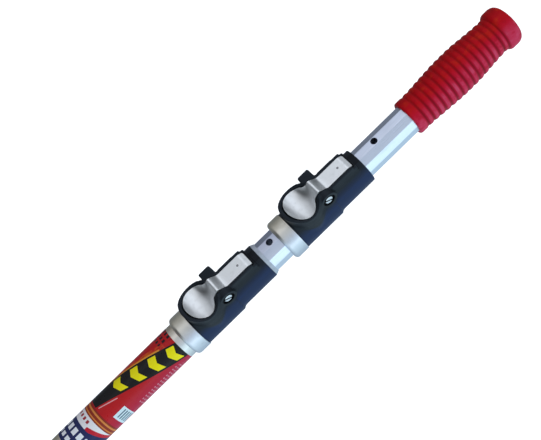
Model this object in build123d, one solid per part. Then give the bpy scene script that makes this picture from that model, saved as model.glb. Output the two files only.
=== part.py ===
from build123d import *
import os

# Three-section telescoping extension pole for paint rollers, millimetres.
# The pole lies along X. The origin is the centre of the shoulder face of the threaded tip,
# +X runs back to the hand grip and +Z is the side on which the lock levers sit.

# ---- lengths along the pole ----
pole_length = 1890.0        # tip shoulder to the end of the grip, pushed in
thread_length = 30.0
ferrule_length = 28.0       # visible part of the ferrule behind the shoulder
grip_length = 118.0
handle_gap = 55.0           # bare handle tube between the upper lock and the grip
middle_gap = 21.2           # bare middle tube between the two locks
hole_pitch = 152.4          # locking holes along a tube
hole_steps = 9              # holes that come under a pin as a tube is drawn out
handle_push_in = 38.5       # from the pushed-in rest place to the last hole by the grip
middle_spare_hole = 32.4    # spare hole of the middle tube, grip side of the lower pin

# ---- tubes ----
tube_wall = 0.9
facets = 12
handle_flat = 13.5          # centre to flat
middle_flat = 14.6
outer_radius = 16.05
corner_radius = 1.2
hole_radius = 3.15
push_gap = 0.02             # fixed fits, per side
running_gap = 0.05          # sliding fits, per side
tube_play = 0.25            # housing bore around the sliding tube, per side
through = 40.0              # reaches past any piece, for cuts that go right through

# ---- lock, measured from its collar face towards the grip ----
lock_length = 79.5
barrel_length = 41.0
barrel_radius = 18.5
sleeve_radius = 16.9
collar_length = 13.8
collar_radius = 19.25
collar_rounding = 3.5
host_depth = 40.0           # how far the host tube reaches into the lock
host_end_gap = 0.2
bush_depth = 8.0
bush_radius = 16.0
bush_nose = 3.4
bush_nose_radius = 16.7
bush_lip = 0.7              # thickness of the nose where it ends on the tube

pivot_x = 38.0
pivot_z = 20.0
bolt_radius = 2.0
lug_radius = 3.6
lug_width = 6.8
bowl_x = 18.6               # centre of the thumb bowl
bowl_half_length = 12.8
bowl_half_width = 15.45
tail_half_width = 7.2
tail_end = 71.6
tail_z = 23.7               # upper face of the lever's tail
tail_lip = 4.0              # the tail's end bends down over this length
tail_drop = 2.2
tail_start = 43.5           # foot of the slope behind the crest
waist_radius = 5.0          # fillet between the bowl and the tail
sheet = 1.6                 # lever thickness
lip_z = 29.0
dish_x = 19.6
dish_z = 21.8
crest_x = 35.0
crest_flat = 2.2
crest_z = 29.8
lug_top_z = 28.6            # the lug's web reaches the underside of the crest
lug_slope = ((2.6, 26.0), (-0.8, 28.6))     # its back edge: (from the pivot, height)

pin_x = 61.5
pin_radius = 2.3
pin_stem_radius = 1.05
pin_lift = 0.15             # clearance over the tube with the lever level
pin_lean = 0.3              # how far the pin swings towards the pivot as it drops
pin_chamfer = 0.5
pin_window = 0.9            # room around the pin in the housing

saddle_x = 18.8
saddle_half_length = 17.8
saddle_half_width = 18.3
saddle_top = 29.0
rim_low_z = 24.2            # lowest point of the rim beside the bowl
rim_arc_radius = 25.8
rail_half_width = 10.4
rail_top = 24.0
rail_end = 70.5
step_top = 20.6
step_end = 73.6
pocket_gap = 0.45
pocket_front_gap = 1.2
pocket_floor = 17.3
slot_floor = 16.25          # deeper slot that clears the spring and the lug
slot_front = 7.0            # from the pivot towards the tip
slot_back = 4.6             # from the pivot towards the grip
boss_radius = 8.2
boss_end = 14.8
block_length = 12.0
block_end = 19.3
block_top = 24.6
block_bottom = 12.0
bolt_end_gap = 0.4
head_radius = 3.8
head_height = 2.2
head_rounding = 0.8
screw_slot_width = 1.6
screw_slot_depth = 0.5
screw_slot_turn = 35.0
head_recess = 2.5
head_recess_radius = 5.6
nut_flat = 3.5
nut_height = 3.2
nut_pocket_depth = 4.2

# ---- spring, rivets, small parts ----
wire_radius = 0.35
coil_radius = 2.9
coil_turns = 3.5
spring_leg = 6.5
spring_margin = 0.8         # from a coil's end to the lug or the pocket wall
rivet_radius = 1.6
rivet_head_radius = 2.9
rivet_head_height = 0.9
rivet_set_back = 0.15       # the tail end stops short of the tube's inner wall
collar_rivet_x = -7.0
barrel_rivet_places = (10.0, 30.0)

butt_wall = 4.0             # closed end of the grip
grip_butt_radius = 15.5
grip_lip = (1.5, 16.9)      # grip outlines: (distance from its open end, radius)
grip_swell = ((20, 17.6), (58, 19.3), (86, 17.2), (97, 17.3))
grip_neck = (105, 18.9)
grip_flare = ((110, 19.3), (115, 18.6))
glide_flange = 4.0
glide_spigot = 18.0
glide_vent = 9.0
cup_depth = 16.0
cup_wall = 2.0
cup_radius = 10.5

# ---- label and tip ----
label_length = 123.6
label_bare_strip = 5.4
label_thickness = 0.1
thread_radius = 9.525       # 3/4 inch
thread_chamfer = 2.0
shoulder_radius = 13.0
shoulder_width = 3.0
flare_middle = (12.0, 14.6)
flare_end = 23.0
ferrule_radius = 16.9
ferrule_bore = 8.98
ferrule_web = 4.0
ferrule_spigot = 32.0
stud_radius = 6.0
stud_depth = 40.0

# ---- places worked out from the lengths ----
upper_lock_x = pole_length - grip_length - handle_gap - lock_length
lower_lock_x = upper_lock_x - collar_length - middle_gap - lock_length
middle_start = 70.0
handle_start = 150.0
middle_bore = middle_flat - tube_wall
handle_bore = handle_flat - tube_wall
outer_bore = outer_radius - tube_wall


def rod(radius, x_start, x_end):
    """Round bar along X."""
    bar = Cylinder(radius, x_end - x_start, align=(Align.CENTER, Align.CENTER, Align.MIN))
    return Pos(x_start, 0, 0) * Rot(0, 90, 0) * bar


def cross_rod(radius, y_start, y_end, x=pivot_x, z=pivot_z):
    """Round bar along Y, by default on the lever's pivot line."""
    bar = Cylinder(radius, y_end - y_start, align=(Align.CENTER, Align.CENTER, Align.MIN))
    return Pos(x, y_start, z) * Rot(-90, 0, 0) * bar


def post(radius, x, z_start, z_end):
    """Round bar along Z, above the pole's centre line."""
    bar = Cylinder(radius, z_end - z_start, align=(Align.CENTER, Align.CENTER, Align.MIN))
    return Pos(x, 0, z_start) * bar


def brick(x_start, x_end, half_width, z_start, z_end):
    """Box that is centred across the pole."""
    block = Box(
        x_end - x_start, 2 * half_width, z_end - z_start, align=(Align.MIN, Align.CENTER, Align.MIN)
    )
    return Pos(x_start, 0, z_start) * block


def group(pieces):
    """Several loose solids kept as one node."""
    return Compound([solid for piece in pieces for solid in piece.solids()])


def faceted_rod(flat, x_start, x_end):
    """Twelve-sided bar along X with a flat on top and rounded corners."""
    outline = RegularPolygon(flat, facets, major_radius=False, rotation=180 / facets)
    outline = fillet(outline.vertices(), corner_radius)
    return Pos(x_start, 0, 0) * extrude(Plane.YZ * outline, x_end - x_start)


def pin_holes(flat, places):
    """Holes through the top flat of a tube."""
    return [post(hole_radius, x, flat - 2 * tube_wall, flat + tube_wall) for x in places]


def faceted_tube(flat, x_start, x_end, hole_places):
    tube = faceted_rod(flat, x_start, x_end) - faceted_rod(flat - tube_wall, x_start, x_end)
    return tube - pin_holes(flat, hole_places)


def locking_holes(lock_x, spare):
    """A spare hole, one under the lever's pin and one for each step that the tube is drawn out."""
    under_pin = lock_x + pin_x - pin_lean
    return [under_pin + spare] + [under_pin - step * hole_pitch for step in range(hole_steps + 1)]


def handle_tube():
    """Thinnest tube; one more hole lies in line with the middle tube's spare hole."""
    places = locking_holes(upper_lock_x, handle_push_in)
    places.append(locking_holes(lower_lock_x, middle_spare_hole)[0])
    return faceted_tube(handle_flat, handle_start, pole_length - butt_wall, places)


def middle_tube():
    places = locking_holes(lower_lock_x, middle_spare_hole)
    tube = faceted_tube(middle_flat, middle_start, upper_lock_x + host_depth, places)
    return tube - [Pos(upper_lock_x, 0, 0) * hole for hole in under_lock(rivet_hole)]


def outer_tube():
    end = lower_lock_x + host_depth
    tube = rod(outer_radius, ferrule_length, end) - rod(outer_bore, ferrule_length, end)
    holes = [Pos(lower_lock_x, 0, 0) * hole for hole in under_lock(rivet_hole)]
    return tube - holes - beside_tip(rivet_hole(outer_radius))


# ---- hand grip and tube ends ----
def hand_grip():
    """Closed vinyl sleeve that swells in the palm and flares at the end."""
    rising = (1, 0.25)
    butt = (grip_length, grip_butt_radius)
    outline = Spline(grip_lip, *grip_swell, grip_neck, tangents=((1, 0), rising))
    flange = Spline(grip_neck, *grip_flare, butt, tangents=(rising, (0, -1)))
    rest = Polyline(butt, (grip_length, 0), (0, 0), (0, grip_lip[1] - grip_lip[0]), grip_lip)
    solid = revolve(Plane.XZ * make_face(outline + flange + rest), Axis.X)
    solid -= faceted_rod(handle_flat + push_gap, 0, grip_length - butt_wall)
    return Pos(pole_length - grip_length, 0, 0) * solid


def glide(flange, bore_flat, tube_start):
    """Moulded plug on a tube's inner end whose flange slides in the next tube."""
    plug = flange + faceted_rod(bore_flat - push_gap, tube_start, tube_start + glide_spigot)
    return plug - rod(glide_vent, tube_start - glide_flange, tube_start + glide_spigot)


def handle_glide():
    flange = faceted_rod(middle_bore - running_gap, handle_start - glide_flange, handle_start)
    return glide(flange, handle_bore, handle_start)


def middle_glide():
    flange = rod(outer_bore - running_gap, middle_start - glide_flange, middle_start)
    return glide(flange, middle_bore, middle_start)


def handle_end_plug():
    """Cup that closes the handle tube under the grip."""
    end = pole_length - butt_wall
    cup = faceted_rod(handle_bore - push_gap, end - cup_depth, end)
    return cup - rod(cup_radius, end - cup_depth, end - cup_wall)


# ---- lever lock, built at its own origin and then moved to its place ----
def lever_plan(extra_front, extra):
    """Seen from above: an oval thumb bowl that narrows into a straight tail."""
    bowl = Pos(bowl_x, 0) * Ellipse(bowl_half_length + extra_front, bowl_half_width + extra)
    tail_length = tail_end + extra - bowl_x
    tail_width = 2 * (tail_half_width + extra)
    tail = Pos(bowl_x, 0) * Rectangle(
        tail_length, tail_width, align=(Align.MIN, Align.CENTER)
    )
    plan = bowl + tail
    waist = [v for v in plan.vertices() if bowl_x + 1 < v.X < pivot_x]
    return fillet(waist, waist_radius)


def lever():
    """Rocker: thumb bowl at the front, crest over the pivot, flat tail that carries the pin."""
    lip = (bowl_x - bowl_half_length, lip_z)
    crest = (crest_x, crest_z)
    tip = (tail_end, tail_z - tail_drop)
    bowl_line = ThreePointArc(lip, (dish_x, dish_z), crest)
    tail_line = Polyline(
        crest,
        (crest_x + crest_flat, crest_z),
        (tail_start, tail_z),
        (tail_end - tail_lip, tail_z),
        tip,
    )
    top_line = bowl_line + tail_line
    under_line = Pos(0, -sheet) * top_line
    ends = [Line(end, (end[0], end[1] - sheet)) for end in (lip, tip)]
    side = extrude(Plane.XZ * make_face(top_line + under_line + ends), through, both=True)
    body = side & extrude(lever_plan(0, 0), through)
    web = make_face(
        Polyline(
            (pivot_x - lug_radius, pivot_z),
            (pivot_x + lug_radius, pivot_z),
            *[(pivot_x + x, z) for x, z in lug_slope],
            (pivot_x - lug_radius, lug_top_z),
            close=True,
        )
    )
    body += extrude(Plane.XZ * web, lug_width / 2, both=True)
    body += cross_rod(lug_radius, -lug_width / 2, lug_width / 2)
    body -= cross_rod(bolt_radius + running_gap, -lug_width, lug_width)
    return body - post(pin_stem_radius, pin_x, tail_z - 2 * sheet, tail_z + sheet)


def lock_pin(inner_flat):
    """Locking pin, riveted through the tail by a thin stem."""
    foot = inner_flat + pin_lift
    pin = post(pin_radius, pin_x, foot, tail_z - sheet)
    pin = chamfer(pin.edges().sort_by(Axis.Z)[0], pin_chamfer)
    return pin + post(pin_stem_radius, pin_x, tail_z - sheet, tail_z)


def saddle():
    """Raised walls around the lever: a dipped rim by the bowl, rails by the tail."""
    plan = Pos(saddle_x, 0) * Ellipse(saddle_half_length, saddle_half_width)
    bowl_wall = extrude(plan, saddle_top)
    rim_arc_z = rim_low_z + rim_arc_radius
    bowl_wall -= cross_rod(rim_arc_radius, -through, through, x=saddle_x, z=rim_arc_z)
    rails = brick(saddle_x, rail_end, rail_half_width, 0, rail_top)
    rails += brick(saddle_x, step_end, rail_half_width, 0, step_top)
    boss = cross_rod(boss_radius, -boss_end, 0)
    block = Pos(pivot_x, 0, block_bottom) * Box(
        block_length, block_end, block_top - block_bottom, align=(Align.CENTER, Align.MIN, Align.MIN)
    )
    return bowl_wall + rails + boss + block


def lock_housing(host_bore, inner_bore):
    """Moulded lock body: barrel on the host tube, sleeve around the inner tube."""
    body = rod(barrel_radius, 0, barrel_length) + rod(sleeve_radius, barrel_length, lock_length)
    body += saddle()
    pocket = Pos(0, 0, pocket_floor) * lever_plan(pocket_front_gap, pocket_gap)
    body -= extrude(pocket, through)
    slot_half_width = tail_half_width + pocket_gap
    body -= brick(
        pivot_x - slot_front, pivot_x + slot_back, slot_half_width, slot_floor, saddle_top
    )
    body -= post(pin_radius + pin_window, pin_x, 0, saddle_top)
    body -= cross_rod(bolt_radius + push_gap, -through, through)
    body -= cross_rod(head_recess_radius, -through, -boss_end + head_recess)
    nut_pocket = RegularPolygon(nut_flat + push_gap, 6, major_radius=False)
    pocket_start = Plane((pivot_x, block_end - nut_pocket_depth, pivot_z), z_dir=(0, 1, 0))
    body -= extrude(pocket_start * nut_pocket, through)
    body -= host_bore
    body -= inner_bore
    body -= rod(bush_radius + push_gap, lock_length - bush_depth, lock_length)
    return body - under_lock(rivet_hole)


def lock_collar(host_bore):
    ring = rod(collar_radius, -collar_length, 0)
    front = ring.edges().sort_by(Axis.X)[0]
    ring = fillet(front, collar_rounding)
    return ring - host_bore - under_lock(rivet_hole)[0]


def lock_bush(inner_flat, nose_length):
    """Guide bush in the end of the sleeve, with a tapered nose where the tube leaves it."""
    bush = rod(bush_radius, lock_length - bush_depth, lock_length)
    if nose_length > 0:
        cone = Cone(
            bush_nose_radius,
            inner_flat + bush_lip,
            nose_length,
            align=(Align.CENTER, Align.CENTER, Align.MIN),
        )
        bush += Pos(lock_length, 0, 0) * Rot(0, 90, 0) * cone
    return bush - faceted_rod(inner_flat + running_gap, 0, lock_length + through)


def pivot_bolt():
    head_face = -boss_end + head_recess
    bolt = cross_rod(head_radius, head_face - head_height, head_face)
    bolt = fillet(bolt.edges().sort_by(Axis.Y)[0], head_rounding)
    bolt += cross_rod(bolt_radius, head_face, block_end - bolt_end_gap)
    slot = Box(through, 2 * screw_slot_depth, screw_slot_width)
    place = Pos(pivot_x, head_face - head_height, pivot_z) * Rot(0, screw_slot_turn, 0)
    return bolt - place * slot


def pivot_nut():
    start = Plane((pivot_x, block_end - nut_pocket_depth, pivot_z), z_dir=(0, 1, 0))
    nut = extrude(start * RegularPolygon(nut_flat, 6, major_radius=False), nut_height)
    return nut - cross_rod(bolt_radius, 0, through)


def spring_coil(y_start, y_end):
    """Half of the torsion spring: a coil on the bolt and two legs that spread under the bowl."""
    turns = Helix((y_end - y_start) / coil_turns, y_end - y_start, coil_radius, lefthand=True)
    floor_leg = Line(turns @ 0 - (turns % 0) * spring_leg, turns @ 0)
    bowl_leg = Line(turns @ 1, turns @ 1 + (turns % 1) * spring_leg)
    path = Wire([floor_leg.edge(), turns.edge(), bowl_leg.edge()])
    wire = sweep(Plane(path @ 0, z_dir=path % 0) * Circle(wire_radius), path)
    return Pos(pivot_x, y_start, pivot_z) * Rot(-90, 0, 0) * Rot(0, 0, 90) * wire


def lever_spring():
    """Pair of coils on the pivot bolt, one on each side of the lever's lug."""
    inner = lug_width / 2 + spring_margin
    outer = tail_half_width + pocket_gap - spring_margin
    return group([spring_coil(-outer, -inner), spring_coil(inner, outer)])


def flush_rivet(tail, surface):
    """Rivet along Z with a flat countersunk head level with the surface that it holds."""
    head = post(rivet_head_radius, 0, surface - rivet_head_height, surface)
    return head + post(rivet_radius, 0, tail, surface)


def rivet_hole(surface):
    """Hole for a flush rivet, open at both ends."""
    sink = post(rivet_head_radius + push_gap, 0, surface - rivet_head_height, through)
    return sink + post(rivet_radius + push_gap, 0, 0, surface)


def under_lock(shape_for_surface):
    """Underside places of a lock's rivets: one through the collar, two through the barrel."""
    places = [(collar_rivet_x, collar_radius)]
    places += [(x, barrel_radius) for x in barrel_rivet_places]
    return [Pos(x, 0, 0) * Rot(180, 0, 0) * shape_for_surface(r) for x, r in places]


def lock_rivets(host_inner):
    tail = host_inner + rivet_set_back
    return under_lock(lambda surface: flush_rivet(tail, surface))


def beside_tip(shape):
    """Both sides of the pole at the middle of the ferrule's spigot."""
    x = ferrule_length + ferrule_spigot / 2
    return [Pos(x, 0, 0) * Rot(turn, 0, 0) * shape for turn in (90, -90)]


# ---- roller end ----
def threaded_tip():
    """Stud that screws into a roller frame, drawn at the thread's crest, and its plain shank."""
    stud = rod(thread_radius, -thread_length, 0)
    stud = chamfer(stud.edges().sort_by(Axis.X)[0], thread_chamfer)
    return stud + rod(stud_radius, 0, stud_depth)


def tip_ferrule():
    """Moulded ferrule: shoulder, flare up to the tube, hollow spigot inside the tube."""
    flare_start = (shoulder_width, shoulder_radius)
    flare_top = (flare_end, ferrule_radius)
    flare = ThreePointArc(flare_start, flare_middle, flare_top)
    rest = Polyline(
        flare_top,
        (ferrule_length, ferrule_radius),
        (ferrule_length, 0),
        (0, 0),
        (0, shoulder_radius),
        flare_start,
    )
    body = revolve(Plane.XZ * make_face(flare + rest), Axis.X)
    spigot_end = ferrule_length + ferrule_spigot
    body += rod(outer_bore - push_gap, ferrule_length, spigot_end)
    body -= rod(stud_radius + push_gap, 0, stud_depth + push_gap)
    body -= rod(ferrule_bore, stud_depth + ferrule_web, spigot_end)
    return body - beside_tip(rivet_hole(outer_radius))


def label_sleeve():
    end = lower_lock_x - collar_length - label_bare_strip
    start = end - label_length
    return rod(outer_radius + label_thickness, start, end) - rod(outer_radius, start, end)


# ---- the two locks and the whole pole ----
def lock_parts(prefix, lock_x, host, host_inner, inner_flat, nose):
    """All pieces of one lock, moved to its place on the pole."""
    host_bore = host(-through, host_depth + host_end_gap)
    inner_bore = faceted_rod(inner_flat + tube_play, host_depth, lock_length)
    pieces = {
        "lock_housing": lock_housing(host_bore, inner_bore),
        "lock_collar": lock_collar(host_bore),
        "lock_bush": lock_bush(inner_flat, nose),
        "lock_rivets": group(lock_rivets(host_inner)),
        "pivot_bolt": pivot_bolt(),
        "pivot_nut": pivot_nut(),
        "lever_spring": lever_spring(),
        "lever": lever(),
        "lock_pin": lock_pin(inner_flat),
    }
    return {f"{prefix}_{name}": Pos(lock_x, 0, 0) * piece for name, piece in pieces.items()}


def all_parts():
    parts = {
        "handle_tube": handle_tube(),
        "hand_grip": hand_grip(),
        "handle_end_plug": handle_end_plug(),
        "handle_glide": handle_glide(),
        "middle_tube": middle_tube(),
        "middle_glide": middle_glide(),
        "outer_tube": outer_tube(),
        "label_sleeve": label_sleeve(),
        "threaded_tip": threaded_tip(),
        "tip_ferrule": tip_ferrule(),
        "tip_rivets": group(beside_tip(flush_rivet(glide_vent, outer_radius))),
    }
    parts |= lock_parts(
        "upper",
        upper_lock_x,
        lambda start, end: faceted_rod(middle_flat + push_gap, start, end),
        middle_bore,
        handle_flat,
        0,
    )
    parts |= lock_parts(
        "lower",
        lower_lock_x,
        lambda start, end: rod(outer_radius + push_gap, start, end),
        outer_bore,
        middle_flat,
        bush_nose,
    )
    return parts


os.makedirs("parts", exist_ok=True)
for node, solid in all_parts().items():
    export_step(solid, f"parts/{node}.step")
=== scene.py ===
import math

import bmesh
import bpy
import numpy as np
from mathutils import Matrix, Vector


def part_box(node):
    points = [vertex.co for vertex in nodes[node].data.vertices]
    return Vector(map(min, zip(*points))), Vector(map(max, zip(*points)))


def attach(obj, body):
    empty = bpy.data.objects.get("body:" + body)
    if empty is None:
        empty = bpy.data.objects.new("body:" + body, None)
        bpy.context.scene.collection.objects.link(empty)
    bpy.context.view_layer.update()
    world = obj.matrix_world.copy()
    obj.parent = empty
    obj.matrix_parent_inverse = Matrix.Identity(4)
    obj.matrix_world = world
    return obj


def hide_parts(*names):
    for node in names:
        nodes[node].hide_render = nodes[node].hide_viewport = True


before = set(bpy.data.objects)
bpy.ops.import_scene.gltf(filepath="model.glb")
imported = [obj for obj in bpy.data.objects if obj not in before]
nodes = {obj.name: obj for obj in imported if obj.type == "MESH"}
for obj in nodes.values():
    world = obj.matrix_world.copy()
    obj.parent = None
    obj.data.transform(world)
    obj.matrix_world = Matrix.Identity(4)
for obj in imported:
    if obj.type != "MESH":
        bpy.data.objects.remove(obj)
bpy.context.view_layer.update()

# Looks of the telescoping roller pole. Metres, CAD frame: origin at the tip's shoulder,
# +X back to the grip, +Z the side with the lock levers. Shapes are drawn in millimetres.
MM = 0.001
scene = bpy.context.scene

pole_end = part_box("hand_grip")[1][0] / MM
grip_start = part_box("hand_grip")[0][0] / MM
lock_x = {side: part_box(side + "_lock_housing")[0][0] / MM for side in ("upper", "lower")}
label_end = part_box("label_sleeve")[1][0] / MM

# Direction from the pole to the camera, and the direction across the pole in the picture.
TO_CAMERA = Vector((0, -0.492, 0.870)).normalized()
ACROSS = Vector((1, 0, 0)).cross(TO_CAMERA) * -1.0

# The lock in its own frame, in mm: x from the front of the housing, y and z from the pole's axis.
SCREW_X, SCREW_Z = 38.0, 20.0
BOWL_X, BOWL_HALF_LENGTH, BOWL_HALF_WIDTH = 18.6, 12.8, 15.45
TAIL_HALF_WIDTH, TAIL_END = 7.2, 71.6
SLEEVE_FRONT_RADIUS, SLEEVE_BACK_RADIUS, SLEEVE_STEP_X = 18.5, 16.9, 41.3


# ---------------------------------------------------------------- node maths
class Value:
    """A number in a node tree. Arithmetic on it adds Math nodes."""

    def __init__(self, tree, socket):
        self.tree = tree
        self.socket = socket

    def math(self, operation, *others):
        node = self.tree.nodes.new("ShaderNodeMath")
        node.operation = operation
        for slot, value in zip(node.inputs, (self, *others)):
            if isinstance(value, Value):
                self.tree.links.new(value.socket, slot)
            else:
                slot.default_value = value
        return Value(self.tree, node.outputs[0])

    def __add__(self, other):
        return self.math("ADD", other)

    def __sub__(self, other):
        return self.math("SUBTRACT", other)

    def __mul__(self, other):
        return self.math("MULTIPLY", other)

    def __lt__(self, other):
        return self.math("LESS_THAN", other)

    def __gt__(self, other):
        return self.math("GREATER_THAN", other)

    def __and__(self, other):
        return self.math("MULTIPLY", other)

    def abs(self):
        return self.math("ABSOLUTE")

    def repeat(self, period):
        """How far through its period the value is, from 0 to 1."""
        return (self * (1 / period)).math("FRACT")

    def between(self, low, high):
        """1 where the value lies between low and high, else 0."""
        return (self > low) & (self < high)

    def ramp(self, low, high, to_low=0.0, to_high=1.0):
        """Straight change from to_low at low to to_high at high, flat beyond them."""
        node = self.tree.nodes.new("ShaderNodeMapRange")
        self.tree.links.new(self.socket, node.inputs[0])
        for slot, value in zip(list(node.inputs)[1:5], (low, high, to_low, to_high)):
            slot.default_value = value
        return Value(self.tree, node.outputs[0])


class Look:
    """A material with a Principled shader, built up by calls."""

    def __init__(self, name, color, roughness, metallic=0.0, **inputs):
        self.material = bpy.data.materials.new(name)
        self.material.use_nodes = True
        self.tree = self.material.node_tree
        self.shader = self.tree.nodes["Principled BSDF"]
        self.color = self.rgb(color)
        self.rough = None
        self.base_rough = roughness
        self.bump_link = None
        self.set("Metallic", metallic)
        for key, value in inputs.items():
            self.set(key.replace("_", " "), value)

    def set(self, name, value):
        """Links a Value to a shader input, or sets a number or colour on it."""
        slot = self.shader.inputs[name]
        if isinstance(value, Value):
            self.tree.links.new(value.socket, slot)
        elif hasattr(value, "__len__"):
            slot.default_value = (*value, 1.0)
        else:
            slot.default_value = value

    def rgb(self, color):
        node = self.tree.nodes.new("ShaderNodeRGB")
        node.outputs[0].default_value = (*color, 1.0)
        return node.outputs[0]

    def coords(self):
        """Object coordinates in millimetres: x, y, z."""
        source = self.tree.nodes.new("ShaderNodeTexCoord")
        split = self.tree.nodes.new("ShaderNodeSeparateXYZ")
        self.tree.links.new(source.outputs["Object"], split.inputs[0])
        return [Value(self.tree, split.outputs[i]) * (1 / MM) for i in range(3)]

    def noise(self, feature, detail=2.0, seed=0.0, roughness=0.5):
        """Noise from 0 to 1; feature is its size in mm along x, y and z."""
        source = self.tree.nodes.new("ShaderNodeTexCoord")
        place = self.tree.nodes.new("ShaderNodeMapping")
        texture = self.tree.nodes.new("ShaderNodeTexNoise")
        place.inputs["Scale"].default_value = [1 / (size * MM) for size in feature]
        place.inputs["Location"].default_value = (seed, seed * 1.7, seed * 2.3)
        texture.inputs["Scale"].default_value = 1.0
        texture.inputs["Detail"].default_value = detail
        texture.inputs["Roughness"].default_value = roughness
        self.tree.links.new(source.outputs["Object"], place.inputs[0])
        self.tree.links.new(place.outputs[0], texture.inputs["Vector"])
        return Value(self.tree, texture.outputs[0])

    def attribute(self, name):
        """A value stored on the points of the mesh."""
        node = self.tree.nodes.new("ShaderNodeAttribute")
        node.attribute_name = name
        return Value(self.tree, node.outputs["Fac"])

    def paint(self, color, mask, blend="MIX"):
        """Lays a colour over the present one where mask is 1."""
        node = self.tree.nodes.new("ShaderNodeMix")
        node.data_type = "RGBA"
        node.blend_type = blend
        node.clamp_result = False
        self.tree.links.new(mask.socket, node.inputs[0])
        self.tree.links.new(self.color, node.inputs[6])
        node.inputs[7].default_value = (*color, 1.0)
        self.color = node.outputs[2]

    def bump(self, height, distance):
        """Adds a bump; distance is its depth in mm."""
        node = self.tree.nodes.new("ShaderNodeBump")
        node.inputs["Distance"].default_value = distance * MM
        node.inputs["Strength"].default_value = 1.0
        self.tree.links.new(height.socket, node.inputs["Height"])
        if self.bump_link:
            self.tree.links.new(self.bump_link, node.inputs["Normal"])
        self.bump_link = node.outputs[0]
        return self

    def done(self):
        """Links up the colour, bump and roughness, and gives the material."""
        self.tree.links.new(self.color, self.shader.inputs["Base Color"])
        if self.bump_link:
            self.tree.links.new(self.bump_link, self.shader.inputs["Normal"])
        self.set("Roughness", self.rough if self.rough else self.base_rough)
        return self.material


# ---------------------------------------------------------------- materials
def part_along(direction, y, z):
    """The part of a place or direction (y, z) that lies along a fixed direction across the pole."""
    return y * direction.y + z * direction.z


def far_side(look):
    """1 on the side of the pole turned away from the camera, 0 on the near side."""
    _, y, z = look.coords()
    return part_along(ACROSS, y, z).ramp(-4.0, 15.0)


def tube_look(name, color, far_shade_and_reflection):
    """Drawn aluminium: die lines along the tube, rub marks from sliding, small dull patches, and a
    painted shade and reflection tint on the side turned away from the camera.
    """
    look = Look(name, color, 0.3, metallic=1.0)
    lines = look.noise((400, 0.5, 0.5), detail=3, seed=3.0, roughness=0.7)
    patches = look.noise((18, 7, 7), detail=4, seed=9.0)
    scuffs = look.noise((30, 0.35, 0.35), detail=2, seed=21.0)
    look.paint((0.62, 0.64, 0.68), lines.ramp(0.55, 0.8, 0.0, 0.35), "MULTIPLY")
    look.paint((0.8, 0.8, 0.8), patches.ramp(0.5, 0.75, 0.0, 0.4), "MULTIPLY")
    # painted shade and reflection tint on the side turned away from the camera
    look.paint(far_shade_and_reflection, far_side(look), "MULTIPLY")
    look.rough = lines.ramp(0.3, 0.7, 0.26, 0.36) + patches.ramp(0.45, 0.75, 0.0, 0.1)
    look.rough = look.rough + scuffs.ramp(0.68, 0.78, 0.0, 0.14)
    look.bump(lines, 0.012)
    return look.done()


def collar_look():
    """Satin aluminium ring with fine turning lines around it, a painted warm reflection on the far
    side and a painted cool reflection on the near side.
    """
    look = Look("collar_metal", (0.78, 0.79, 0.80), 0.34, metallic=1.0)
    turning = look.noise((0.3, 60, 60), detail=2, seed=5.0)
    patches = look.noise((6, 6, 6), detail=4, seed=12.0)
    look.paint((0.72, 0.70, 0.66), patches.ramp(0.5, 0.8, 0.0, 0.5), "MULTIPLY")
    far_side_reflection = far_side(look)
    # painted reflection: warm on the far side, cool on the near side
    look.paint((1.0, 0.92, 0.74), far_side_reflection, "MULTIPLY")
    look.paint((0.86, 0.88, 0.97), far_side_reflection.ramp(0.35, 0.0), "MULTIPLY")
    look.rough = turning.ramp(0.3, 0.7, 0.3, 0.42) + patches.ramp(0.5, 0.8, 0.0, 0.1)
    look.bump(turning, 0.01)
    return look.done()


def lever_look():
    """Bright satin pressing: faint polishing lines, handling marks and a painted shade behind the
    crest and at the far side of the dish.
    """
    tarnish = (0.30, 0.295, 0.29)
    look = Look("lever_metal", (0.94, 0.95, 0.955), 0.34, metallic=0.85)
    brush = look.noise((7, 0.3, 7), detail=3, seed=2.0, roughness=0.7)
    marks = look.noise((3.5, 3.5, 3.5), detail=5, seed=7.0)
    look.paint((0.8, 0.8, 0.79), marks.ramp(0.5, 0.75, 0.0, 0.35), "MULTIPLY")
    # painted shade behind the crest and at the far side of the dish, stored on the points
    look.paint(tarnish, look.attribute("tarnish"), "MULTIPLY")
    look.rough = brush.ramp(0.3, 0.7, 0.33, 0.40) + marks.ramp(0.5, 0.8, 0.0, 0.1)
    look.bump(brush, 0.006).bump(marks, 0.02)
    return look.done()


def lock_plastic_look():
    """Black moulded nylon with a fine grain; a painted navy sheen, a painted reflection, lies on
    its lower round surfaces, and painted shade darkens the screw's recess and the lever pocket.
    """
    black, recess_shade = (0.009, 0.012, 0.015), (0.002, 0.002, 0.002)
    navy, dusty = (0.010, 0.023, 0.078), (0.03, 0.034, 0.042)
    look = Look(
        "lock_plastic",
        black,
        0.45,
        Specular_IOR_Level=0.3,
        Specular_Tint=(0.7, 0.8, 1.0),
    )
    grain = look.noise((0.45, 0.45, 0.45), detail=2, seed=1.0)
    flow = look.noise((14, 5, 5), detail=3, seed=8.0)
    dust = look.noise((1.2, 1.2, 1.2), detail=4, seed=14.0)
    # painted reflection: a navy sheen on the lower round surfaces
    look.paint(navy, look.attribute("sheen") * flow.ramp(0.25, 0.6, 0.75, 1.0))
    look.paint(dusty, dust.ramp(0.62, 0.78, 0.0, 0.35))
    # painted shade, near black, in the screw's recess and the lever pocket
    look.paint(recess_shade, look.attribute("depth"))
    look.rough = flow.ramp(0.3, 0.7, 0.38, 0.5) + grain.ramp(0.4, 0.7, 0.0, 0.08)
    look.bump(grain, 0.03).bump(flow, 0.08)
    return look.done()


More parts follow.
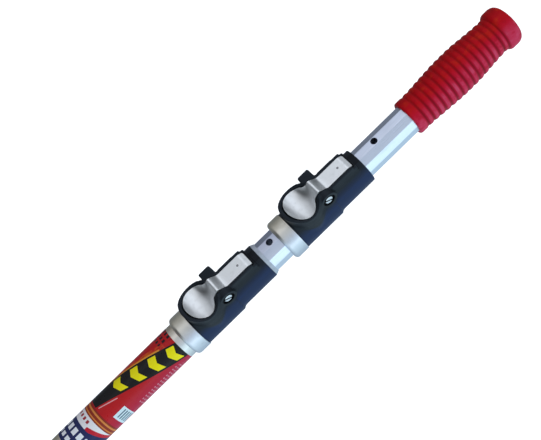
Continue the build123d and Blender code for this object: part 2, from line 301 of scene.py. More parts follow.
def bolt_look():
    """Bright screw with painted shade: near black in the driver slot and around the rounded rim of
    the head.
    """
    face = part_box("upper_pivot_bolt")[0][1] / MM            # outer face of the head, both screws
    slot_start, slot_floor = face + 0.12, face + 0.40
    look = Look("bolt_metal", (0.92, 0.93, 0.96), 0.24, metallic=1.0)
    _, y, _ = look.coords()
    scratches = look.noise((0.25, 2.0, 2.0), detail=3, seed=3.5)
    # painted shade in the slot and around the rim, only on the head's half: the thread's end on the
    # other side stays bright
    look.paint((0.012, 0.012, 0.016), y.ramp(slot_start, slot_floor) & (y < 0.0))
    look.paint((0.7, 0.7, 0.72), scratches.ramp(0.5, 0.8, 0.0, 0.5), "MULTIPLY")
    look.rough = scratches.ramp(0.3, 0.7, 0.2, 0.34)
    look.bump(scratches, 0.01)
    return look.done()


def grip_look():
    """Soft dipped vinyl with painted light: painted shade in the grooves and on the top side, a
    painted warm reflection in orange blotches on top, a painted pinkish light on the lower side and
    painted pink highlights on the crests low down.
    """
    red = (0.58, 0.004, 0.010)
    lit_pink_red = (0.60, 0.014, 0.065)
    top_shade_red = (0.42, 0.002, 0.002)
    top_reflection_orange = (0.66, 0.030, 0.006)
    crest_highlight_pink = (0.72, 0.11, 0.21)
    stain = (0.36, 0.003, 0.006)
    groove_shade_red = (0.16, 0.001, 0.002)
    look = Look("grip_vinyl", red, 0.42, Specular_IOR_Level=0.1, Specular_Tint=(1.0, 0.6, 0.85))
    blotch = look.noise((9, 7, 7), detail=4, seed=4.0)
    grain = look.noise((0.5, 0.5, 0.5), detail=3, seed=6.0)
    groove = look.attribute("groove")
    _, y, z = look.coords()
    # grows from the edge of the grip that is on top in the picture to the lower one
    near = part_along(TO_CAMERA, y, z) * 0.5 - part_along(ACROSS, y, z)
    # painted light: pinkish on the lower side; painted shade: darker red on the top side
    look.paint(lit_pink_red, near.ramp(5.0, 21.0, 0.0, 0.85))
    look.paint(top_shade_red, near.ramp(2.0, -14.0, 0.0, 0.85))
    # painted warm reflection in orange blotches on the top side
    look.paint(top_reflection_orange, blotch.ramp(0.52, 0.72, 0.0, 0.7) * near.ramp(12.0, 0.0))
    # painted pink highlights on the rib crests low down
    crest = groove.ramp(0.0, 0.25, 1.0, 0.0) * near.ramp(10.0, 18.0) * near.ramp(26.0, 20.0)
    look.paint(crest_highlight_pink, crest * blotch.ramp(0.35, 0.65, 0.05, 0.5))
    look.paint(stain, blotch.ramp(0.45, 0.25, 0.0, 0.5))
    # painted shade in the grooves and at the neck, weaker on the top side
    shade = groove.ramp(0.1, 1.0, 0.0, 0.75) * near.ramp(-10.0, 12.0, 0.3, 1.0)
    look.paint(groove_shade_red, shade)
    look.rough = blotch.ramp(0.3, 0.7, 0.38, 0.5) + grain.ramp(0.4, 0.7, 0.0, 0.08)
    look.bump(grain, 0.05).bump(blotch, 0.25)
    return look.done()


def plain_look(name, color, roughness, grain_size, grain_depth, metallic=0.0):
    """Small parts: an even colour broken by grain and worn patches."""
    look = Look(name, color, roughness, metallic=metallic)
    grain = look.noise((grain_size,) * 3, detail=3, seed=2.5)
    wear = look.noise((grain_size * 8,) * 3, detail=3, seed=11.0)
    dulling = 0.72
    dull = [channel * dulling for channel in color]
    look.paint(dull, wear.ramp(0.45, 0.75, 0.0, 0.6))
    look.rough = wear.ramp(0.3, 0.7, roughness - 0.05, roughness + 0.08)
    look.bump(grain, grain_depth)
    return look.done()


def label_look():
    """Printed film: red field, black band with yellow chevrons, rings and curved stripes.

    Lengths are in mm from the end of the label nearest the grip, angles in degrees around the
    pole from the side that faces the camera.
    """
    red, crimson, maroon = (0.55, 0.008, 0.012), (0.50, 0.010, 0.055), (0.30, 0.008, 0.012)
    bright_red, faded_red, rose = (0.60, 0.01, 0.03), (0.40, 0.03, 0.04), (0.85, 0.40, 0.42)
    white, block_white, pale = (0.90, 0.86, 0.88), (0.92, 0.92, 0.96), (0.74, 0.86, 0.92)
    navy, slate, black = (0.018, 0.024, 0.11), (0.10, 0.16, 0.22), (0.008, 0.008, 0.008)
    brown, copper, amber = (0.30, 0.03, 0.01), (0.70, 0.20, 0.04), (0.75, 0.24, 0.05)
    flame_red, orange, yellow = (0.70, 0.10, 0.010), (0.85, 0.32, 0.03), (0.98, 0.84, 0.0)
    tile_black, dash_pink, worn = (0.03, 0.008, 0.012), (0.80, 0.42, 0.52), (0.85, 0.84, 0.83)

    look = Look("label_film", red, 0.3, Specular_IOR_Level=0.2, Coat_Weight=0.06)
    x, y, z = look.coords()
    turn = part_along(ACROSS, y, z).math("ARCTAN2", part_along(TO_CAMERA, y, z))
    angle = turn * (180 / math.pi)
    back = x * -1.0 + label_end
    look.paint(crimson, angle.ramp(-10.0, -60.0))

    # curved stripes and the dark field with pale blocks at the roller end
    ring = 93.2                                             # where the double ring ends
    white_edge = angle.ramp(11.0, -75.0, 99.9, 92.8)
    navy_edge = angle.ramp(-2.0, -75.0, 102.8, 96.0)
    look.paint(maroon, back > ring - 8)
    look.paint(white, back > ring)
    look.paint(bright_red, (back > white_edge) & (angle < 11.0))
    look.paint(navy, back > navy_edge)
    rows = (back - 1.14).repeat(9.5).between(0.14, 0.78)
    blocks = (angle + 7.2).repeat(24.0).between(0.14, 0.80)
    look.paint(block_white, rows & blocks & back.between(104.5, 120.5))
    marks = angle.repeat(16.0) < 0.55
    look.paint(faded_red, marks & back.between(95.5, 98.5) & (angle > 14.0))

    # double ring
    look.paint(brown, back.between(ring - 7.4, ring))
    look.paint(copper, back.between(ring - 2.4, ring - 1.2))
    look.paint(amber, back.between(ring - 6.2, ring - 4.6))

    # slanted band: its two edges, the flame and tiles above it, the chevrons on it
    low = back * 1.03 - 52.3
    high = back * 1.09 + 7.3
    band = (angle > low) & (angle < high) & (back < ring - 8.6)
    above = (angle > high) & (back < ring - 30)
    flame = look.noise((9, 2.5, 2.5), detail=3, seed=31.0).ramp(0.4, 0.6)
    look.paint(flame_red, above & (angle < high + 16.0) & (back > 9.0) & flame)
    look.paint(orange, above & (angle < high + 5.0) & (back > 14.0))
    tiles = (back.repeat(5.2) < 0.6) & (angle.repeat(16.0) < 0.6)
    look.paint(tile_black, tiles & above & (angle > high + 15.0) & (back < 13.0))
    look.paint(black, band)
    mm_per_degree = 0.28
    offset = (angle - low * 0.5 - high * 0.5).abs() * mm_per_degree   # from the band's middle
    step = (back + offset * 0.45 + 1.6).repeat(16.7)
    chevrons = step.between(0.44, 0.86) & (offset < 6.8) & back.between(3.0, 67.5)
    look.paint(yellow, chevrons & band)
    look.paint(rose, (angle - low).between(-8.0, -5.0) & back.between(65.5, 83.0))

    # plain pale patch with even lines, and faint dashes on the near side
    patch = back.between(66.0, 79.0) & angle.between(-76.0, -22.0)
    look.paint(pale, patch)
    lines = (angle.repeat(9.0) < 0.5) & angle.between(-76.0, -32.0)
    look.paint(slate, lines & back.between(67.5, 77.0))
    dashes = (back.repeat(3.4) < 0.4) & (angle.repeat(9.0) < 0.55)
    below = (angle < low - 12.0) & angle.between(-78.0, -46.0)
    look.paint(dash_pink, dashes & below & back.between(8.0, 57.0) & 0.6)

    wear = look.noise((3, 2, 2), detail=5, seed=5.0)
    fine = look.noise((0.6, 0.6, 0.6), detail=2, seed=15.0)
    look.paint(worn, wear.ramp(0.5, 0.75, 0.0, 0.35), "MULTIPLY")
    look.rough = wear.ramp(0.3, 0.7, 0.26, 0.4)
    look.bump(fine, 0.01)
    return look.done()


looks = {
    "handle_tube": tube_look("tube_metal", (0.75, 0.81, 0.93), (0.86, 0.86, 0.90)),
    "middle_tube": tube_look("tube_metal_middle", (0.76, 0.81, 0.92), (0.68, 0.68, 0.76)),
    "outer_tube": tube_look("tube_metal_outer", (0.78, 0.79, 0.80), (1.0, 0.86, 0.66)),
    "label_sleeve": label_look(),
    "handle_end_plug": plain_look("plug_plastic", (0.72, 0.72, 0.68), 0.45, 0.6, 0.03),
    "tip_ferrule": plain_look("ferrule_plastic", (0.018, 0.019, 0.022), 0.45, 0.5, 0.04),
    "tip_rivets": plain_look("rivet_metal", (0.76, 0.77, 0.79), 0.3, 0.4, 0.01, metallic=1.0),
    "lock_bush": plain_look("bush_plastic", (0.50, 0.54, 0.62), 0.4, 0.5, 0.03),
    "pivot_bolt": bolt_look(),
    "pivot_nut": plain_look("nut_metal", (0.80, 0.81, 0.83), 0.28, 0.3, 0.01, metallic=1.0),
    "lever_spring": plain_look("spring_steel", (0.5, 0.5, 0.52), 0.3, 0.3, 0.01, metallic=1.0),
    "lock_pin": plain_look("pin_steel", (0.30, 0.30, 0.31), 0.35, 0.3, 0.01, metallic=1.0),
    "lock_collar": collar_look(),
}
looks["handle_glide"] = looks["middle_glide"] = looks["handle_end_plug"]
looks["lock_rivets"] = looks["tip_rivets"]
lever_metal = lever_look()
lock_plastic = lock_plastic_look()
grip_vinyl = grip_look()
tip_metal = plain_look("tip_metal", (0.66, 0.67, 0.70), 0.38, 0.5, 0.03, metallic=1.0)

for name, node in nodes.items():
    kind = name.replace("upper_", "").replace("lower_", "")
    if kind in looks:
        node.data.materials.clear()
        node.data.materials.append(looks[kind])


# ---------------------------------------------------------------- mesh tools
def piece(name, points, faces, material, body, replaced, x=0.0):
    """A new mesh from points in mm, placed at x mm along the pole."""
    mesh = bpy.data.meshes.new(name)
    mesh.from_pydata([[c * MM for c in p] for p in points], [], faces)
    return finish_piece(mesh, name, material, body, replaced, x)


def finish_piece(mesh, name, material, body, replaced, x=0.0):
    """Cleans a mesh in metres and puts it on its body, in the place of its CAD node."""
    shape = bmesh.new()
    shape.from_mesh(mesh)
    bmesh.ops.remove_doubles(shape, verts=shape.verts, dist=1e-6)
    bmesh.ops.dissolve_degenerate(shape, edges=shape.edges, dist=1e-7)
    bmesh.ops.recalc_face_normals(shape, faces=shape.faces)
    shape.to_mesh(mesh)
    shape.free()
    mesh.materials.clear()
    mesh.materials.append(material)
    mesh.shade_smooth()
    made = bpy.data.objects.new(name, mesh)
    scene.collection.objects.link(made)
    made.location.x = x * MM
    bpy.context.view_layer.update()
    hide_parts(replaced)
    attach(made, body)
    return made


def store(mesh, name, values):
    """Keeps one number for each point of the mesh, for a material to read."""
    layer = mesh.attributes.new(name, "FLOAT", "POINT")
    layer.data.foreach_set("value", values)


def places_of(mesh):
    """The mesh's points as an array with a row for each point."""
    places = np.empty(len(mesh.vertices) * 3)
    mesh.vertices.foreach_get("co", places)
    return places.reshape(-1, 3)


def band_faces(rings, columns, first=0, closed=True):
    """Quads between rings of points. The last point of a closed ring meets its first."""
    wide = columns if closed else columns + 1
    faces = []
    for ring in range(rings - 1):
        a = first + ring * wide
        b = a + wide
        for i in range(columns):
            j = (i + 1) % wide
            faces.append((a + i, a + j, b + j, b + i))
    return faces


def applied(made):
    """Makes the object's modifiers part of its mesh."""
    evaluated = made.evaluated_get(bpy.context.evaluated_depsgraph_get())
    mesh = bpy.data.meshes.new_from_object(evaluated)
    made.modifiers.clear()
    made.data = mesh


def smooth_curve(xs, zs, width, grid):
    """The polyline through xs, zs at the places in grid, rounded over about width mm."""
    fineness = 12
    spread = 3 * fineness
    margin = 6 * width
    fine = np.arange(xs[0] - margin, xs[-1] + margin, width / fineness)
    first = (zs[1] - zs[0]) / (xs[1] - xs[0])
    last = (zs[-1] - zs[-2]) / (xs[-1] - xs[-2])
    line = np.interp(fine, xs, zs)
    line = np.where(fine < xs[0], zs[0] + first * (fine - xs[0]), line)
    line = np.where(fine > xs[-1], zs[-1] + last * (fine - xs[-1]), line)
    kernel = np.exp(-0.5 * (np.arange(-spread, spread + 1) / fineness) ** 2)
    rounded = np.convolve(line, kernel / kernel.sum(), "same")
    return np.interp(grid, fine, rounded)


# ---------------------------------------------------------------- hand grip
def grip_profile(length):
    """The grip's outside from the tube end to the middle of the butt: x, radius, groove shade."""
    pitch, first_groove, last_groove, depth, half_groove = 6.33, 9.3, 14, 0.55, 2.3
    rib_start, butt_start, largest_radius = 1.5, 112.0, 19.36
    neck_x, neck_width, rib_crown, rounding = 102.8, 0.9, 0.2, 0.8
    outline_x = [rib_start, 16, 30, 45, 58, 70, 82, 92, 101, neck_x, 104.4, 106.5, butt_start]
    outline_r = [16.8, 17.1, 18.2, 19.2, 19.5, 19.1, 18.0, 17.2, 16.8, 16.7, 18.8, 19.4, 19.4]
    along = np.concatenate([np.arange(rib_start, butt_start - 0.1, 0.3), [butt_start]])
    radius = smooth_curve(outline_x, outline_r, rounding, along)
    radius = np.minimum(radius, largest_radius)
    place = (along - first_groove) / pitch
    nearest = np.abs(place - np.round(place)) * pitch
    ribbed = (np.round(place) >= 0) & (np.round(place) <= last_groove)
    cut = 0.5 + 0.5 * np.cos(np.pi * nearest / half_groove)
    cut = np.where(nearest < half_groove, cut, 0.0) * ribbed
    crown = np.where(ribbed, (nearest / (pitch / 2)) ** 2, 1.0)
    radius = radius - depth * cut - rib_crown * (1 - crown)
    shade = np.maximum(cut, np.exp(-(((along - neck_x) / neck_width) ** 2)))

    # the rim around the tube, the ribs, then the rounded and closed butt
    profile = [(0.0, 14.6, 0.0), (0.15, 15.8, 0.0), (0.6, 16.5, 0.0)]
    profile += list(zip(along, radius, shade))
    butt_radius, butt_edge, butt_steps = 4.6, 19.3, 8
    for step in range(1, butt_steps + 1):
        turn = math.pi / 2 * step / butt_steps
        x = butt_start + (length - butt_start) * math.sin(turn)
        profile.append((x, butt_edge - butt_radius * (1 - math.cos(turn)), 0.0))
    profile += [(length, 12.0, 0.0), (length, 6.0, 0.0), (length, 0.0, 0.0)]
    return profile


def make_grip():
    """Ribbed sleeve turned about the pole, with a twelve-sided bore and a closed end."""
    length = pole_end - grip_start
    profile = grip_profile(length)
    bore_end, bore_limit = length - 4.0, 14.0
    inner = [(bore_end, 0.0), (bore_end, bore_limit), (40.0, bore_limit), (0.0, bore_limit)]

    columns, sides = 96, 12
    bore_flat, bore_corner = 13.52, 13.93
    turns = np.arange(columns) * 2 * math.pi / columns
    side_angle = 360 / sides
    from_flat = (np.degrees(turns) + side_angle / 2) % side_angle - side_angle / 2
    bore = np.minimum(bore_flat / np.cos(np.radians(from_flat)), bore_corner)
    points, groove = [], []
    for x, r in inner:
        ring = np.minimum(bore, r) if r else np.zeros(columns)
        points += [(x, ring[i] * math.cos(a), ring[i] * math.sin(a)) for i, a in enumerate(turns)]
        groove += [0.0] * columns
    for x, r, shade in profile:
        points += [(x, r * math.cos(a), r * math.sin(a)) for a in turns]
        groove += [float(shade)] * columns
    mesh = bpy.data.meshes.new("hand_grip_ribbed")
    faces = band_faces(len(inner) + len(profile), columns)
    mesh.from_pydata([[c * MM for c in p] for p in points], [], faces)
    store(mesh, "groove", groove)
    finish_piece(
        mesh, "ribbed_grip", grip_vinyl, "handle_section", "hand_grip", grip_start
    )


# ---------------------------------------------------------------- levers
def lever_outline():
    """Half of the lever's plan, from the front of the bowl to the middle of the tail's end."""
    fillet, corner, spacing = 5.0, 1.6, 0.8
    angles = np.linspace(math.pi, 0.0, 400)
    oval_x = BOWL_X + BOWL_HALF_LENGTH * np.cos(angles)
    oval = np.stack([oval_x, BOWL_HALF_WIDTH * np.sin(angles)], 1)
    # the fillet's centre lies one radius outside the tail's edge and outside the oval
    centres = np.stack([np.linspace(28, 40, 600), np.full(600, TAIL_HALF_WIDTH + fillet)], 1)
    reach = np.array([np.min(np.hypot(*(oval - c).T)) for c in centres])
    bend = centres[np.argmin(np.abs(reach - fillet))]
    touch = int(np.argmin(np.hypot(*(oval - bend).T)))
    start = math.atan2(oval[touch][1] - bend[1], oval[touch][0] - bend[0])
    oval_steps, fillet_points, corner_points = 44, 14, 7
    outline = [tuple(oval[i]) for i in range(0, touch, max(1, touch // oval_steps))]
    outline += [
        (bend[0] + fillet * math.cos(a), bend[1] + fillet * math.sin(a))
        for a in np.linspace(start, -math.pi / 2, fillet_points)
    ]
    corner_x, corner_y = TAIL_END - corner, TAIL_HALF_WIDTH - corner
    straight = np.arange(bend[0] + spacing, corner_x - spacing / 2, spacing)
    outline += [(x, TAIL_HALF_WIDTH) for x in straight]
    outline += [
        (corner_x + corner * math.sin(a), corner_y + corner * math.cos(a))
        for a in np.linspace(0, math.pi / 2, corner_points)
    ]
    outline += [(TAIL_END, y) for y in (4.2, 2.8, 1.4, 0.0)]
    return outline


def lever_height(x, y, half):
    """Height of the lever's upper face; half is the half width of the plan at each x."""
    lip, dish_floor, crest = (5.8, 29.0), (19.6, 21.8), (35.0, 29.8)
    dish_rise, funnel_rise, top, rounding = 1.5, 1.5, 29.75, 0.55
    # circle through the lip, the bottom of the dish and the crest
    (x1, z1), (x2, z2), (x3, z3) = lip, dish_floor, crest
    a = np.array([[x2 - x1, z2 - z1], [x3 - x1, z3 - z1]]) * 2
    b = np.array([x2**2 - x1**2 + z2**2 - z1**2, x3**2 - x1**2 + z3**2 - z1**2])
    centre_x, centre_z = np.linalg.solve(a, b)
    radius = math.hypot(x1 - centre_x, z1 - centre_z)
    arc_x = np.linspace(x1, x3, 60)
    arc_z = centre_z - np.sqrt(radius**2 - (arc_x - centre_x) ** 2)
    # then the slope behind the crest, the flat tail and its turned-down end
    xs = list(arc_x) + [36.8, 43.2, 46.0, 67.4, TAIL_END]
    zs = list(arc_z) + [29.7, 24.0, 23.68, 23.68, 21.4]
    base = smooth_curve(xs, zs, rounding, x)
    # the sides stand up around the dish and where it runs up to the crest
    side = np.clip(np.abs(y) / half, 0, 1)
    funnel = np.exp(-(((x - 29.5) / 3.4) ** 2)) * funnel_rise
    dish = np.clip((34.0 - x) / 6.0, 0, 1) * np.clip((x - 6.5) / 5.0, 0, 1) * dish_rise
    return np.minimum(base + (dish + funnel) * side**2.2, top)


def mark_painted_shade(mesh):
    """Painted shade: darker behind the crest and at the far side of the dish."""
    x, y, _ = places_of(mesh).T / MM
    dish_shade = 0.72 * np.exp(-(((x - 27.0) / 5.5) ** 2) - ((y - 5.5) / 6.0) ** 2)
    slope_shade = 0.5 * np.exp(-(((x - 40.6) / 2.4) ** 2)) * np.clip(0.65 + y / 14, 0, 1)
    shade_border = 34.2
    store(mesh, "tarnish", np.where(x < shade_border, dish_shade, slope_shade))


def make_lever(side):
    """Rocker with a dished thumb bowl, a rounded crest and a flat tail, pressed from sheet."""
    sheet, spine_start, spine_end, least_half = 1.6, 17.0, 67.0, 6.5
    half = lever_outline()
    outline = half + [(x, -y) for x, y in reversed(half[1:-1])]
    # rings of points grow from the lever's spine to its outline, closest together at the edge
    rings = (0.0, 0.12, 0.25, 0.38, 0.5, 0.61, 0.71, 0.8, 0.87, 0.93, 0.97, 1.0)
    plan = []
    for share in rings:
        for x, y in outline:
            spine = min(max(x, spine_start), spine_end)
            plan.append((spine + share * (x - spine), share * y))
    plan = np.array(plan)
    edge_x = np.array([p[0] for p in half])
    edge_y = np.array([max(p[1], 0.5) for p in half])
    order = np.argsort(edge_x)
    half_here = np.interp(plan[:, 0], edge_x[order], edge_y[order])
    top = lever_height(plan[:, 0], plan[:, 1], np.maximum(half_here, least_half))
    points = [(x, y, z) for (x, y), z in zip(plan, top)]
    points += [(x, y, z - sheet) for (x, y), z in zip(plan, top)]

    count, per_ring = len(plan), len(outline)
    upper = band_faces(len(rings), per_ring)
    lower = [tuple(count + corner for corner in reversed(face)) for face in upper]
    last = count - per_ring
    ends = [(last + i, last + (i + 1) % per_ring) for i in range(per_ring)]
    rim = [(i, j, count + j, count + i) for i, j in ends]
    made = piece(
        side + "_rocker", points, upper + lower + rim, lever_metal,
        side + "_lever_body", side + "_lever", lock_x[side],
    )
    mark_painted_shade(made.data)
    edge = made.modifiers.new("edge", "BEVEL")
    edge.width = 0.45 * MM
    edge.segments = 3
    edge.limit_method = "ANGLE"
    edge.angle_limit = math.radians(50)
    applied(made)


# ---------------------------------------------------------------- lock housings
def neighbour_mean(points, ends):
    """Mean of the neighbours of each point along the mesh's edges."""
    first, second = ends
    count = len(points)
    total = []
    for axis in range(3):
        forward = np.bincount(first, points[second, axis], count)
        total.append(forward + np.bincount(second, points[first, axis], count))
    degree = np.bincount(first, minlength=count) + np.bincount(second, minlength=count)
    return np.stack(total, 1) / degree[:, None]


def in_lever_pocket(x, y, room):
    """Whether a place in the lock's plan is over the lever or within room mm of it."""
    across = y / (BOWL_HALF_WIDTH + room)
    oval = ((x - BOWL_X) / (BOWL_HALF_LENGTH + room)) ** 2 + across**2 < 1
    return oval | ((x > BOWL_X) & (np.abs(y) < TAIL_HALF_WIDTH + room))


def soften(mesh, shift):
    """Fills the outer inside corners like a moulding's fillets and rounds the small ribs."""
    fillet_turns, rib_turns, pull = 170, 22, 0.5
    bore_clear, front, back, boss_radius, rim_width = 16.6, 1.0, 78.6, 6.6, 1.8
    count = len(mesh.vertices)
    points = places_of(mesh)
    normals = np.empty(count * 3, "f")
    ends = np.empty(len(mesh.edges) * 2, "i")
    mesh.vertex_normals.foreach_get("vector", normals)
    mesh.edges.foreach_get("vertices", ends)
    normals = normals.reshape(-1, 3)
    ends = ends.reshape(-1, 2).T
    x, y, z = (points - (shift, 0, 0)).T
    from_screw = np.hypot(x - SCREW_X, z - SCREW_Z)
    outside = (np.hypot(y, z) > bore_clear) & (x > front) & (x < back)
    outside &= ~in_lever_pocket(x, y, rim_width)
    outside &= from_screw >= boss_radius
    outside &= ~((z < 0) & (np.abs(y) < 5))                 # the strip with the rivets, below
    nut_boss = (y > 9) & (np.abs(x - SCREW_X) < 9) & (z > 12)
    back_ridge = (x > 62) & (z > 17.5)
    ribs = outside & (nut_boss | back_ridge)
    for turn in range(fillet_turns):
        step = (neighbour_mean(points, ends) - points) * pull
        fills = outside & (np.sum(step * normals, 1) > 0)
        moves = fills | ribs if turn < rib_turns else fills
        points[moves] += step[moves]
    mesh.vertices.foreach_set("co", points.ravel())
    mesh.update()


def mark_surfaces(mesh, shift):
    """Stores where the painted navy sheen lies on the housing's lower round surfaces, and where
    painted shade darkens the screw's recess and the lever pocket.
    """
    x, y, z = (places_of(mesh) - (shift, 0, 0)).T
    sleeve_radius = np.where(x < SLEEVE_STEP_X, SLEEVE_FRONT_RADIUS, SLEEVE_BACK_RADIUS)
    off_round = np.abs(np.hypot(y, z) - sleeve_radius)
    sheen_top, sheen_fade, round_fade = 13.5, 5.5, 1.4
    sheen = np.clip(1.3 - off_round / round_fade, 0, 1)
    sheen = sheen * np.clip((sheen_top - z) / sheen_fade, 0, 1)
    recess_radius, recess_y = 5.75, -11.5
    screw_recess = (np.hypot(x - SCREW_X, z - SCREW_Z) < recess_radius) & (y < recess_y)
    pocket_floor, pocket_rim = 16, 22
    pocket = in_lever_pocket(x, y, 0.6) & (z > pocket_floor) & (z < pocket_rim)
    store(mesh, "sheen", sheen)
    store(mesh, "depth", np.where(screw_recess | pocket, 1.0, 0.0))


def make_housing(side, body):
    """The CAD housing with the soft edges of a moulding."""
    voxel, smoothing, kept_share = 0.4, 5, 0.35
    mesh = nodes[side + "_lock_housing"].data.copy()
    mesh.transform(Matrix.Scale(1 / MM, 4))
    soft = bpy.data.objects.new("soft", mesh)
    scene.collection.objects.link(soft)
    remesh = soft.modifiers.new("remesh", "REMESH")
    remesh.mode = "VOXEL"
    remesh.voxel_size = voxel
    even = soft.modifiers.new("even", "SMOOTH")
    even.factor = 0.5
    even.iterations = smoothing
    applied(soft)
    soften(soft.data, lock_x[side])
    fewer = soft.modifiers.new("fewer", "DECIMATE")
    fewer.ratio = kept_share
    applied(soft)
    mesh = soft.data
    mark_surfaces(mesh, lock_x[side])
    mesh.transform(Matrix.Scale(MM, 4))
    bpy.data.objects.remove(soft)
    finish_piece(
        mesh, side + "_moulded_body", lock_plastic, body, side + "_lock_housing"
    )


# ---------------------------------------------------------------- threaded tip
def make_tip():
    """Stud with a 3/4 inch, five turns to the inch Acme thread, and its plain shank."""
    pitch, crest, root = 5.08, 9.525, 6.985
    length, neck, chamfer = 30.0, 1.5, 2.0
    shank_length, shank_radius = 40.0, 6.0
    columns = 72
    flat, flank = 0.3707 * pitch, 0.1293 * pitch
    shape = [(0.0, root), (flat, root), (flat + flank, crest), (2 * flat + flank, crest)]
    rows = (int(length / pitch) + 3) * len(shape)
    start = -length - pitch
    angles = [2 * math.pi * i / columns for i in range(columns + 1)]
    points = []
    # each row of points is one corner of the thread's shape, followed once around the stud
    for row in range(rows):
        turn, corner = divmod(row, len(shape))
        along, radius = shape[corner]
        for i, angle in enumerate(angles):
            x = start + (turn + i / columns) * pitch + along
            x = min(max(x, -length), -neck)
            r = min(radius, crest - chamfer + (x + length)) if x < chamfer - length else radius
            if x >= -neck:
                r = root
            points.append((x, r * math.cos(angle), -r * math.sin(angle)))
    faces = band_faces(rows, columns, closed=False)
    # the stud's flat end, then the neck at the shoulder and the shank inside the ferrule
    tip_end = [(-length, root), (-length, 0.0)]
    tail = [(-neck, root), (0.0, root), (0.0, shank_radius)]
    tail += [(shank_length, shank_radius), (shank_length, 0.0)]
    for line in (tip_end, tail):
        faces += band_faces(len(line), columns, first=len(points), closed=False)
        points += [(x, r * math.cos(a), -r * math.sin(a)) for x, r in line for a in angles]
    piece("acme_stud", points, faces, tip_metal, "outer_section", "threaded_tip")


make_grip()
make_tip()
for side, body in (("upper", "middle_section"), ("lower", "outer_section")):
    make_lever(side)
    make_housing(side, body)


# ---------------------------------------------------------------- stage, light and camera
def make_floor():
    """Plain white floor; only the camera sees it, so that it doesn't change the reflections."""
    height, left, right, half_depth = -0.3, -8.0, 12.0, 8.0
    corners = [(left, -half_depth), (right, -half_depth), (right, half_depth), (left, half_depth)]
    mesh = bpy.data.meshes.new("floor")
    mesh.from_pydata([(x, y, height) for x, y in corners], [], [(0, 1, 2, 3)])
    floor = bpy.data.objects.new("floor", mesh)
    scene.collection.objects.link(floor)
    look = Look("floor_white", (0.9, 0.9, 0.9), 0.8)
    look.set("Emission Color", (1.0, 1.0, 1.0))
    look.set("Emission Strength", 0.75)
    mesh.materials.append(look.done())
    floor.visible_diffuse = False
    floor.visible_glossy = False
    floor.visible_shadow = False


def facing(tree, split, direction):
    """Cosine of the angle between the looked-up direction and a fixed one."""
    fixed = Vector(direction).normalized()
    parts = [Value(tree, split.outputs[i]) * fixed[i] for i in range(3)]
    return parts[0] + parts[1] + parts[2]


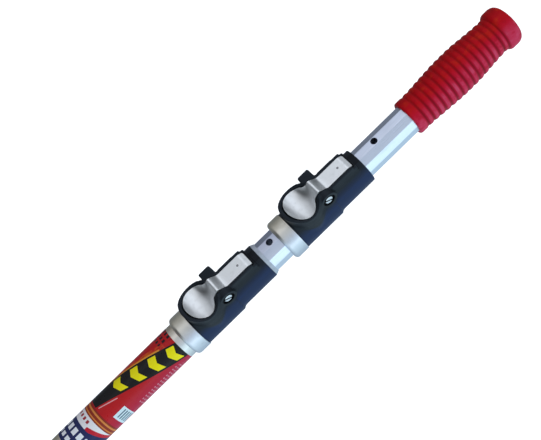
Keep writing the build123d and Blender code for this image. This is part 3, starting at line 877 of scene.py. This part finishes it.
def make_world():
    """Soft studio surround: bright and cool in front of the pole, dim behind it."""
    world = bpy.data.worlds.new("studio")
    scene.world = world
    world.use_nodes = True
    tree = world.node_tree
    tree.nodes.clear()
    source = tree.nodes.new("ShaderNodeTexCoord")
    split = tree.nodes.new("ShaderNodeSeparateXYZ")
    tree.links.new(source.outputs["Generated"], split.inputs[0])
    y, z = [Value(tree, split.outputs[i]) for i in (1, 2)]
    turn = part_along(ACROSS, y, z).math("ARCTAN2", part_along(TO_CAMERA, y, z))
    turn = turn * (0.5 / math.pi) + 0.5
    ramp = tree.nodes.new("ShaderNodeValToRGB")
    tree.links.new(turn.socket, ramp.inputs[0])
    # degrees around the pole from the camera side, and the surround's colour there
    colors = {
        -180: (0.34, 0.42, 0.50),
        -120: (0.52, 0.68, 0.78),
        -75: (0.80, 1.04, 1.12),
        -45: (0.78, 1.00, 1.10),
        -15: (0.60, 0.66, 0.74),
        15: (0.56, 0.60, 0.65),
        50: (0.46, 0.50, 0.56),
        80: (0.42, 0.44, 0.47),
        115: (0.17, 0.19, 0.215),
        150: (0.20, 0.22, 0.25),
        180: (0.34, 0.42, 0.50),
    }
    marks = ramp.color_ramp.elements
    while len(marks) < len(colors):
        marks.new(0.5)
    for mark, (degrees, color) in zip(marks, colors.items()):
        mark.position = degrees / 360 + 0.5
        mark.color = (*color, 1.0)
    # a dark card hangs over the roller end, a bright and a low grey one over the grip end
    dark = facing(tree, split, (-0.78, 0.22, 0.58)).ramp(0.80, 0.96, 1.0, 0.02)
    grey = facing(tree, split, (0.90, 0.42, 0.10)).ramp(0.80, 0.96, 1.0, 0.25)
    bright = facing(tree, split, (0.58, 0.42, 0.70)).ramp(0.84, 0.98, 0.0, 1.1)
    lit = tree.nodes.new("ShaderNodeBackground")
    tree.links.new(ramp.outputs[0], lit.inputs[0])
    tree.links.new((dark * grey + bright).socket, lit.inputs[1])
    # the camera sees plain white behind the pole
    ray = tree.nodes.new("ShaderNodeLightPath")
    white = tree.nodes.new("ShaderNodeBackground")
    mix = tree.nodes.new("ShaderNodeMixShader")
    out = tree.nodes.new("ShaderNodeOutputWorld")
    white.inputs[0].default_value = (1.0, 1.0, 1.0, 1.0)
    tree.links.new(ray.outputs["Is Camera Ray"], mix.inputs[0])
    tree.links.new(lit.outputs[0], mix.inputs[1])
    tree.links.new(white.outputs[0], mix.inputs[2])
    tree.links.new(mix.outputs[0], out.inputs[0])


def make_light(name, place, target, size, watts, color):
    """A rectangular lamp at place that points at target."""
    light = bpy.data.lights.new(name, "AREA")
    light.shape = "RECTANGLE"
    light.size, light.size_y = size
    light.energy = watts
    light.color = color
    made = bpy.data.objects.new(name, light)
    scene.collection.objects.link(made)
    made.location = place
    made.rotation_euler = (Vector(target) - Vector(place)).to_track_quat("-Z", "Y").to_euler()


def make_camera():
    """Looks at the grip end of the pole, which runs up to the right at 44 degrees."""
    distance = 0.839                                        # from the pole's axis
    foot_x = (pole_end - 273.9) * MM                        # the camera stands square to here
    aim_x = (pole_end - 259.7) * MM                         # and looks here, beside the axis
    aim_offset = 0.01985
    lean = math.radians(44.26)
    focal_length = 66.54344
    place = Vector((foot_x, 0, 0)) + TO_CAMERA * distance
    aim = Vector((aim_x, 0, 0)) + ACROSS * aim_offset
    back = (place - aim).normalized()
    along = Vector((1, 0, 0))
    along = (along - back * along.dot(back)).normalized()
    across = back.cross(along)
    right = along * math.cos(lean) - across * math.sin(lean)
    up = along * math.sin(lean) + across * math.cos(lean)
    camera = bpy.data.cameras.new("camera")
    camera.sensor_width = 36.0
    camera.lens = focal_length
    camera.clip_start, camera.clip_end = 0.01, 50.0
    made = bpy.data.objects.new("camera", camera)
    scene.collection.objects.link(made)
    turn = Matrix((right, up, back)).transposed().to_4x4()
    made.matrix_world = Matrix.Translation(place) @ turn
    scene.camera = made


make_floor()
make_world()
make_light("key", (1.5, -1.7, 0.25), (1.6, 0, 0), (1.6, 0.5), 1.6, (0.88, 0.95, 1.0))
make_light("top", (1.4, 0.5, 1.9), (1.5, 0, 0), (1.8, 0.8), 1.6, (1.0, 0.98, 0.96))
make_camera()
scene.view_settings.view_transform = "Standard"
